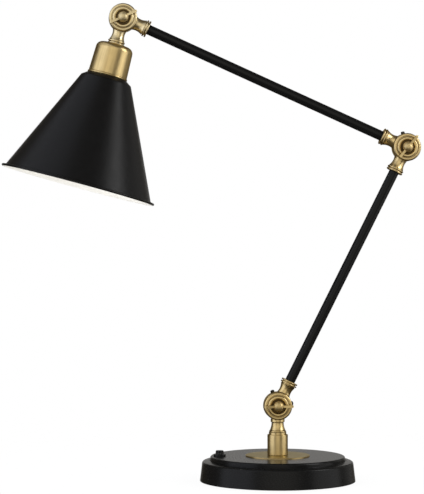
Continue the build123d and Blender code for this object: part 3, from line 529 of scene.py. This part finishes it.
def screw_tree():
    """Node tree that stands a domed, slotted screw head on each point, along the point's outward arrow."""
    tree, given = form_tree("Slotted Screws", {
        "Head Radius": "Float", "Head Height": "Float", "Slot": "Float", "Finish": "Material"})
    blank = add(tree, "GeometryNodeMeshCylinder", {
        "Vertices": SCREW_STEPS, "Fill Segments": 4, "Radius": given["Head Radius"],
        "Depth": given["Head Height"]},
        fill_type="TRIANGLE_FAN")
    # The foot stands on the point, and the top falls towards its edge by three tenths of the height
    spot = add(tree, "ShaderNodeSeparateXYZ", {0: add(tree, "GeometryNodeInputPosition").outputs[0]})
    flat = add(tree, "ShaderNodeCombineXYZ", {"X": spot.outputs["X"], "Y": spot.outputs["Y"]})
    reach = add(tree, "ShaderNodeVectorMath", {0: flat.outputs[0]}, operation="LENGTH")
    share = add(tree, "ShaderNodeMath", {
        0: reach.outputs["Value"], 1: given["Head Radius"]}, operation="DIVIDE")
    bow = add(tree, "ShaderNodeMath", {0: share.outputs[0], 1: 2.0}, operation="POWER")
    fall = add(tree, "ShaderNodeMath", {0: bow.outputs[0], 1: given["Head Height"]}, operation="MULTIPLY")
    upper = add(tree, "ShaderNodeMath", {0: spot.outputs["Z"], 1: 0.0}, operation="GREATER_THAN")
    drop = add(tree, "ShaderNodeMath", {0: fall.outputs[0], 1: upper.outputs[0]}, operation="MULTIPLY")
    half = add(tree, "ShaderNodeMath", {0: given["Head Height"], 1: 0.5}, operation="MULTIPLY")
    lift = add(tree, "ShaderNodeMath", {
        0: drop.outputs[0], 1: -0.3, 2: half.outputs[0]}, operation="MULTIPLY_ADD")
    rise = add(tree, "ShaderNodeCombineXYZ", {"Z": lift.outputs[0]})
    domed = add(tree, "GeometryNodeSetPosition", {
        "Geometry": blank.outputs["Mesh"], "Offset": rise.outputs[0]})
    # The slot is as deep as it is wide, and runs right across
    wide = add(tree, "ShaderNodeMath", {0: given["Head Radius"], 1: 3.0}, operation="MULTIPLY")
    twice = add(tree, "ShaderNodeMath", {0: given["Slot"], 1: 2.0}, operation="MULTIPLY")
    bar = add(tree, "ShaderNodeCombineXYZ", {
        "X": given["Slot"], "Y": wide.outputs[0], "Z": twice.outputs[0]})
    cutter = add(tree, "GeometryNodeMeshCube", {"Size": bar.outputs[0]})
    high = add(tree, "ShaderNodeCombineXYZ", {"Z": given["Head Height"]})
    raised = add(tree, "GeometryNodeTransform", {
        "Geometry": cutter.outputs["Mesh"], "Translation": high.outputs[0]})
    slotted = add(tree, "GeometryNodeMeshBoolean", {
        "Mesh 1": domed.outputs[0], "Mesh 2": raised.outputs[0]}, operation="DIFFERENCE")
    outward = add(tree, "GeometryNodeInputNamedAttribute", {"Name": "outward"}, data_type="FLOAT_VECTOR")
    turn = add(tree, "FunctionNodeAlignRotationToVector", {"Vector": outward.outputs[0]}, axis="Z")
    heads = add(tree, "GeometryNodeInstanceOnPoints", {
        "Points": given["Geometry"], "Instance": slotted.outputs["Mesh"], "Rotation": turn.outputs[0]})
    real = add(tree, "GeometryNodeRealizeInstances", {"Geometry": heads.outputs[0]})
    crisp = add(tree, "GeometryNodeSetShadeSmooth", {"Geometry": real.outputs[0], "Shade Smooth": False})
    coated = add(tree, "GeometryNodeSetMaterial", {
        "Geometry": crisp.outputs[0], "Material": given["Finish"]})
    add(tree, "NodeGroupOutput", {0: coated.outputs[0]})
    return tree


def grown_piece(name, mesh, tree, sizes, place):
    """Piece that a node tree grows from a mesh, with the tree's inputs set by name."""
    piece = bpy.data.objects.new(name, mesh)
    bpy.context.scene.collection.objects.link(piece)
    modifier = piece.modifiers.new(tree.name, "NODES")
    modifier.node_group = tree
    for item in tree.interface.items_tree:
        if item.in_out == "INPUT" and item.name in sizes:
            modifier[item.identifier] = sizes[item.name]
    settle(piece, place)
    return piece


def turned_piece(name, corners, place, finish, lining=None, **values):
    """Piece turned from corners, each a radius, a height and, by name, its round, flutes and lining."""
    mesh = bpy.data.meshes.new(name)
    last = len(corners) - 1
    edges = [(i, i + 1) for i in range(last)]
    # A profile that starts off the axis is a ring's, and closes on itself
    if corners[0][0] > 0:
        edges.append((last, 0))
    mesh.from_pydata([(c[0], 0, c[1]) for c in corners], edges, [])
    for mark in ("round", "fluted", "lining"):
        layer = mesh.attributes.new(mark, "FLOAT", "POINT")
        for i, corner in enumerate(corners):
            layer.data[i].value = corner[2].get(mark, 0.0) if len(corner) > 2 else 0.0
    sizes = {"Steps Around": TURNED_STEPS, "Steps in a Round": ROUND_STEPS, "Flutes": 0.0,
             "Flute Depth": 0.0, "Finish": finish, "Lining": lining or finish}
    sizes.update(values)
    tree = bpy.data.node_groups.get("Turned Form") or turned_tree()
    return grown_piece(name, mesh, tree, sizes, place)


def settle(piece, place):
    """Turns a piece's modifiers into a plain mesh at its place, with its faces outwards."""
    graph = bpy.context.evaluated_depsgraph_get()
    mesh = bpy.data.meshes.new_from_object(piece.evaluated_get(graph), depsgraph=graph)
    piece.modifiers.clear()
    piece.data = mesh
    mesh.transform(place)
    shape = bmesh.new()
    shape.from_mesh(mesh)
    if shape.calc_volume(signed=True) < 0:
        bmesh.ops.reverse_faces(shape, faces=shape.faces)
        shape.to_mesh(mesh)
    shape.free()


def along_head():
    """Place of a form drawn along Z from the head's joint."""
    return Matrix.Translation(HEAD_JOINT) @ HEAD_AXIS.to_track_quat("Z", "Y").to_matrix().to_4x4()


def standing_on(node):
    """Place of a form drawn upwards from the middle of a node's lowest face, with its radius and height."""
    low, high = (Vector(corner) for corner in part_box(node))
    middle = (low + high) / 2
    middle.z = low.z
    return Matrix.Translation(middle), (high.x - low.x) / 2, high.z - low.z


def hand_over(piece, body, node):
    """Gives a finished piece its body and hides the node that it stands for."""
    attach(piece, body)
    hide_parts(node)


# Operators

class LAMP_OT_finish(bpy.types.Operator):
    """Gives each solid of the frame the finish of its real material"""
    bl_idname = "lamp.finish"
    bl_label = "Finish the Solids"

    def execute(self, context):
        finishes = context.scene.lamp_finishes
        by_slot = {
            "black_powder_coat": powder_coat("Black Powder Coat", finishes.black_coat),
            "shade_enamel": stoved_enamel(
                "Black Stoved Enamel", finishes.black_enamel, OUTER_ENAMEL_ROUGHNESS),
            "cast_iron": cast_iron(),
            "felt": felt(),
            "zinc_steel": zinc_steel(),
            "black_steel": black_steel(),
            "black_plastic": black_plastic(),
            "fibre": vulcanised_fibre(),
            "lead_sheath": lead_sheath(),
            "porcelain": porcelain(),
            "contact_brass": contact_brass(),
            "bulb_cap_metal": bulb_cap_metal(),
            "bulb_glass": opal_glass(),
        }
        by_joint = {
            "shoulder": antique_brass("Antique Brass Shoulder", joint("shoulder_tilt"), PIN_AXIS),
            # The elbow and the head take the paler brass, painted light for their brighter lighting
            "elbow": antique_brass(
                "Antique Brass Elbow", joint("elbow_bend"), PIN_AXIS, finishes.brass_elbow_painted_lighter),
            "head": antique_brass("Antique Brass Head", HEAD_JOINT, PIN_AXIS, finishes.brass_head_painted_lighter),
        }
        by_node = {
            "base_plate": antique_brass("Dulled Brass Plate", Vector(), UP_AXIS, film=finishes.olive),
            "socket_cup": antique_brass("Antique Brass Cup", HEAD_JOINT, HEAD_AXIS, streaks=CUP_STREAKS),
            "column": antique_brass("Antique Brass Column", Vector(), UP_AXIS, streaks=COLUMN_STREAKS),
        }
        by_node["swivel_washer"] = by_node["column"]
        for part in frame["record"]["subparts"]:
            node, slot = part["node"], part["material_slot"]
            finish = by_slot.get(slot) or by_node.get(node) or by_joint[node.split("_")[0]]
            mesh = frame["nodes"][node].data
            mesh.materials.clear()
            mesh.materials.append(finish)
        return {"FINISHED"}


class LAMP_OT_shade(bpy.types.Operator):
    """Spun conical shade, black outside and white inside, with a rolled rim"""
    bl_idname = "lamp.shade"
    bl_label = "Shade"

    def execute(self, context):
        size = context.scene.lamp_shade
        wall = size.wall
        top = size.cup_mouth
        shoulder = top + size.shoulder_length
        mouth = shoulder + size.cone_length
        slope = (size.mouth_radius - size.shoulder_radius) / size.cone_length
        thick = wall * (1 + slope ** 2) ** 0.5
        outside = [
            (size.hole_radius, top),
            (size.neck_radius, top, {"round": wall}),
            (size.shoulder_radius, shoulder, {"round": size.shoulder_round}),
            (size.mouth_radius, mouth, {"round": size.mouth_round}),
        ]
        inside = [
            (size.mouth_radius - thick / 2, mouth + wall, {"round": size.mouth_round, "lining": 1.0}),
            (size.shoulder_radius - thick, shoulder + wall / 2, {"round": size.lining_round, "lining": 1.0}),
            (size.neck_radius - wall / 2, top + wall, {"lining": 1.0}),
            (size.hole_radius, top + wall, {"lining": 1.0}),
        ]
        rim = self.rolled_rim(size.mouth_radius + size.flange_width, mouth + wall / 2, size.roll_radius)
        finish = bpy.data.materials["Black Stoved Enamel"]
        white = context.scene.lamp_finishes.white_enamel
        lining = stoved_enamel("White Stoved Enamel", white, INNER_ENAMEL_ROUGHNESS)
        shade = turned_piece("shade_spun", outside + rim + inside, along_head(), finish, lining,
                             **{"Steps Around": SHADE_STEPS})
        hand_over(shade, "lamp_head", "shade")
        return {"FINISHED"}

    def rolled_rim(self, radius, height, roll):
        """Corners of the rim: three quarters of a circle, from its black upper to its white inner side."""
        corners = []
        for i in range(RIM_STEPS + 1):
            turn = pi * (1.5 * i / RIM_STEPS - 0.75)
            lining = 1.0 if turn > 0.45 * pi else 0.0
            corners.append((radius + roll * cos(turn), height + roll * sin(turn), {"lining": lining}))
        return corners


class LAMP_OT_knob(bpy.types.Operator):
    """Switch knob with finger flutes and a rounded crown"""
    bl_idname = "lamp.knob"
    bl_label = "Switch Knob"

    def execute(self, context):
        size = context.scene.lamp_base
        place, radius, height = standing_on("switch_knob")
        draft = 0.06 * radius
        foot_round = 0.3 * size.crown
        corners = [
            (0.0, 0.0),
            (radius, 0.0, {"fluted": 1.0, "round": foot_round}),
            (radius - draft, height, {"fluted": 1.0, "round": size.crown}),
            (0.0, height),
        ]
        knob = turned_piece("switch_knob_moulded", corners, place, bpy.data.materials["Moulded Plastic"],
                            **{"Flutes": float(size.flutes), "Flute Depth": size.flute_depth})
        hand_over(knob, "knob", "switch_knob")
        return {"FINISHED"}


class LAMP_OT_felt(bpy.types.Operator):
    """Felt under the base, with a soft lower edge"""
    bl_idname = "lamp.felt"
    bl_label = "Felt Pad"

    def execute(self, context):
        size = context.scene.lamp_base
        place, radius, height = standing_on("felt_pad")
        corners = [
            (0.0, 0.0),
            (radius, 0.0, {"round": size.felt_edge}),
            (radius, height),
            (0.0, height),
        ]
        pad = turned_piece("felt_pad_soft", corners, place, bpy.data.materials["Wool Felt"])
        hand_over(pad, "base", "felt_pad")
        return {"FINISHED"}


class LAMP_OT_rim_screws(bpy.types.Operator):
    """Slotted screws that stand on the rims of the shoulder and the elbow"""
    bl_idname = "lamp.rim_screws"
    bl_label = "Rim Screws"

    def execute(self, context):
        size = context.scene.lamp_screws
        shoulder_bearings = (size.shoulder_upper, size.shoulder_right)
        self.ring("shoulder_screw_heads", joint("shoulder_tilt"), shoulder_bearings, "lower_arm",
                  "shoulder_rim_screws", size)
        self.ring("elbow_screw_head", joint("elbow_bend"), (size.elbow_upper,), "upper_arm",
                  "elbow_rim_screw", size)
        return {"FINISHED"}

    def ring(self, name, centre, bearings, body, node, size):
        """The screws of one joint, on the rim of its rear half."""
        arrows = [Vector((cos(bearing), 0, sin(bearing))) for bearing in bearings]
        middle = centre + Vector((0, size.setback, 0))
        mesh = bpy.data.meshes.new(name)
        mesh.from_pydata([middle + arrow * size.seat for arrow in arrows], [], [])
        layer = mesh.attributes.new("outward", "FLOAT_VECTOR", "POINT")
        for i, arrow in enumerate(arrows):
            layer.data[i].vector = arrow
        tree = bpy.data.node_groups.get("Slotted Screws") or screw_tree()
        sizes = {"Head Radius": size.head_radius, "Head Height": size.head_height, "Slot": size.slot,
                 "Finish": bpy.data.materials["Blued Steel"]}
        screws = grown_piece(name, mesh, tree, sizes, Matrix())
        hand_over(screws, body, node)


class LAMP_OT_stage(bpy.types.Operator):
    """Pale floor, soft boxes, white surround and the camera"""
    bl_idname = "lamp.stage"
    bl_label = "Stage"

    def execute(self, context):
        stage = context.scene.lamp_stage
        aim = Vector((stage.aim_x, 0, stage.aim_z))
        self.floor(stage.floor_hole, stage.floor_reach)
        self.surround(context)
        white, cool = (1.0, 1.0, 1.0), (0.96, 1.0, 1.12)
        self.soft_box("Left Box", aim, cool, 1.08, (-69, 8), (29, 30))
        self.soft_box("High Left Box", aim, cool, 0.55, (-76, 55), (32, 18))
        self.soft_box("Right Box", aim, white, 1.0, (72, -4), (24, 16))
        self.soft_box("High Right Box", aim, white, 4.4, (69, 25), (12, 14))
        self.soft_box("Right Rear Box", aim, white, 0.23, (124, 14), (16, 26))
        self.camera(context, aim)
        return {"FINISHED"}

    def floor(self, hole, reach):
        """White floor that fades into the surround and keeps a faint shadow."""
        mesh = bpy.data.meshes.new("Floor")
        # A hidden hole under the base lets light reach the felt, and the floor lies a little below it
        low = -0.2 * MM
        steps = FLOOR_STEPS
        turns = [2 * pi * i / steps for i in range(steps)]
        corners = [(r * cos(turn), r * sin(turn), low) for r in (hole, reach) for turn in turns]
        faces = [(i, steps + i, steps + (i + 1) % steps, (i + 1) % steps) for i in range(steps)]
        mesh.from_pydata(corners, [], faces)
        floor = bpy.data.objects.new("Floor", mesh)
        bpy.context.scene.collection.objects.link(floor)
        mesh.materials.append(self.floor_paint())
        floor.visible_glossy = False

    def floor_paint(self):
        """Matt white, but nearly plain white to the eye, clear from below and clear far away."""
        stage = bpy.context.scene.lamp_stage
        made, tree, place = new_material("White Floor")
        matt = add(tree, "ShaderNodeBsdfDiffuse", {"Color": (0.9, 0.9, 0.9, 1)})
        white = add(tree, "ShaderNodeEmission", {"Color": (1, 1, 1, 1), "Strength": 1.0})
        clear = add(tree, "ShaderNodeBsdfTransparent")
        path = add(tree, "ShaderNodeLightPath")
        seen = add(tree, "ShaderNodeMixShader", {0: 0.93, 1: matt.outputs[0], 2: white.outputs[0]})
        away = add(tree, "ShaderNodeVectorMath", {0: place}, operation="LENGTH")
        fade = add(tree, "ShaderNodeMapRange", {
            "Value": away.outputs["Value"], "From Min": stage.fade_start, "From Max": stage.fade_end})
        faded = add(tree, "ShaderNodeMixShader", {
            0: fade.outputs[0], 1: seen.outputs[0], 2: clear.outputs[0]})
        kind = add(tree, "ShaderNodeMixShader", {
            0: path.outputs["Is Camera Ray"], 1: matt.outputs[0], 2: faded.outputs[0]})
        side = add(tree, "ShaderNodeNewGeometry").outputs["Backfacing"]
        whole = add(tree, "ShaderNodeMixShader", {0: side, 1: kind.outputs[0], 2: clear.outputs[0]})
        add(tree, "ShaderNodeOutputMaterial", {"Surface": whole.outputs[0]})
        return made

    def surround(self, context):
        """White for the eye, even grey for matt surfaces, two soft panels in a dim warm room for gloss."""
        world = bpy.data.worlds.new("Studio")
        context.scene.world = world
        world.use_nodes = True
        tree = world.node_tree
        tree.nodes.clear()
        way = add(tree, "ShaderNodeTexCoord").outputs["Generated"]
        # Each panel has a middle, the angles at which its edge starts and ends, and a colour
        room = (0.062, 0.052, 0.036)
        panels = (
            (direction(174, 6), 14, 26, (0.46, 0.455, 0.45)),
            (direction(-4, 15), 10, 42, (0.80, 0.77, 0.70)),
        )
        lit = room
        for middle, inner, outer, glow in panels:
            near = add(tree, "ShaderNodeVectorMath", {0: way, 1: middle}, operation="DOT_PRODUCT")
            share = add(tree, "ShaderNodeMapRange", {
                "Value": near.outputs["Value"], "From Min": cos(radians(outer)),
                "From Max": cos(radians(inner))}, interpolation_type="SMOOTHSTEP")
            lit = add(tree, "ShaderNodeVectorMath", {0: glow, 1: share.outputs[0], 2: lit},
                      operation="MULTIPLY_ADD").outputs[0]
        path = add(tree, "ShaderNodeLightPath")
        other = add(tree, "ShaderNodeMix", {
            0: path.outputs["Is Glossy Ray"], 6: (0.92, 0.92, 0.92, 1), 7: lit}, data_type="RGBA")
        open_view = add(tree, "ShaderNodeMath", {
            0: path.outputs["Is Camera Ray"], 1: path.outputs["Is Transmission Ray"]}, operation="MAXIMUM")
        whole = add(tree, "ShaderNodeMix", {
            0: open_view.outputs[0], 6: other.outputs[2], 7: (1, 1, 1, 1)}, data_type="RGBA")
        light = add(tree, "ShaderNodeBackground", {"Color": whole.outputs[2], "Strength": 1.0})
        add(tree, "ShaderNodeOutputWorld", {"Surface": light.outputs[0]})

    def soft_box(self, name, aim, tint, radiance, place, half_angles):
        """Area light aimed at the lamp: azimuth and elevation, and half its width and height, in degrees."""
        distance = bpy.context.scene.lamp_stage.box_distance
        width, height = (2 * distance * tan(radians(half)) for half in half_angles)
        lamp = bpy.data.lights.new(name, "AREA")
        lamp.shape = "RECTANGLE"
        lamp.size = width
        lamp.size_y = height
        lamp.energy = radiance * pi * width * height
        lamp.color = tint
        box = bpy.data.objects.new(name, lamp)
        bpy.context.scene.collection.objects.link(box)
        way = direction(*place)
        box.location = aim + way * distance
        box.rotation_euler = way.to_track_quat("Z", "Y").to_euler()
        box.visible_camera = False

    def camera(self, context, aim):
        """Long lens a little to the lamp's left, at the height of its middle."""
        stage = context.scene.lamp_stage
        lens = bpy.data.cameras.new("Camera")
        eye = bpy.data.objects.new("Camera", lens)
        context.scene.collection.objects.link(eye)
        yaw = stage.camera_yaw
        eye.location = aim + Vector((-sin(yaw), -cos(yaw), 0)) * stage.camera_distance
        eye.location.z = stage.camera_height
        eye.rotation_euler = (eye.location - aim).to_track_quat("Z", "Y").to_euler()
        lens.sensor_fit = "AUTO"
        lens.sensor_width = 36.0
        lens.lens = stage.focal * lens.sensor_width / max(PHOTO_WIDTH, PHOTO_HEIGHT)
        lens.clip_end = 50.0
        context.scene.camera = eye


class LAMP_PT_panel(bpy.types.Panel):
    """Lists the lamp's pieces, sizes and finishes"""
    bl_idname = "LAMP_PT_panel"
    bl_label = "Desk Lamp"
    bl_space_type = "VIEW_3D"
    bl_region_type = "UI"
    bl_category = "Lamp"

    def draw(self, context):
        for operator in OPERATORS:
            self.layout.operator(operator.bl_idname)
        for group in GROUPS:
            settings = getattr(context.scene, group)
            for name in settings.__annotations__:
                self.layout.prop(settings, name)


GROUPS = {
    "lamp_finishes": LampFinishes,
    "lamp_shade": LampShade,
    "lamp_base": LampBase,
    "lamp_screws": LampScrews,
    "lamp_stage": LampStage,
}
OPERATORS = (
    LAMP_OT_finish,
    LAMP_OT_shade,
    LAMP_OT_knob,
    LAMP_OT_felt,
    LAMP_OT_rim_screws,
    LAMP_OT_stage,
)


def register():
    for name, group in GROUPS.items():
        bpy.utils.register_class(group)
        setattr(bpy.types.Scene, name, bpy.props.PointerProperty(type=group))
    for item in (*OPERATORS, LAMP_PT_panel):
        bpy.utils.register_class(item)


def unregister():
    for item in (LAMP_PT_panel, *reversed(OPERATORS)):
        bpy.utils.unregister_class(item)
    for name, group in GROUPS.items():
        delattr(bpy.types.Scene, name)
        bpy.utils.unregister_class(group)


def main():
    register()
    bpy.context.scene.view_settings.view_transform = "Standard"
    for operator in OPERATORS:
        group, name = operator.bl_idname.split(".")
        getattr(getattr(bpy.ops, group), name)()


if __name__ == "__main__":
    main()
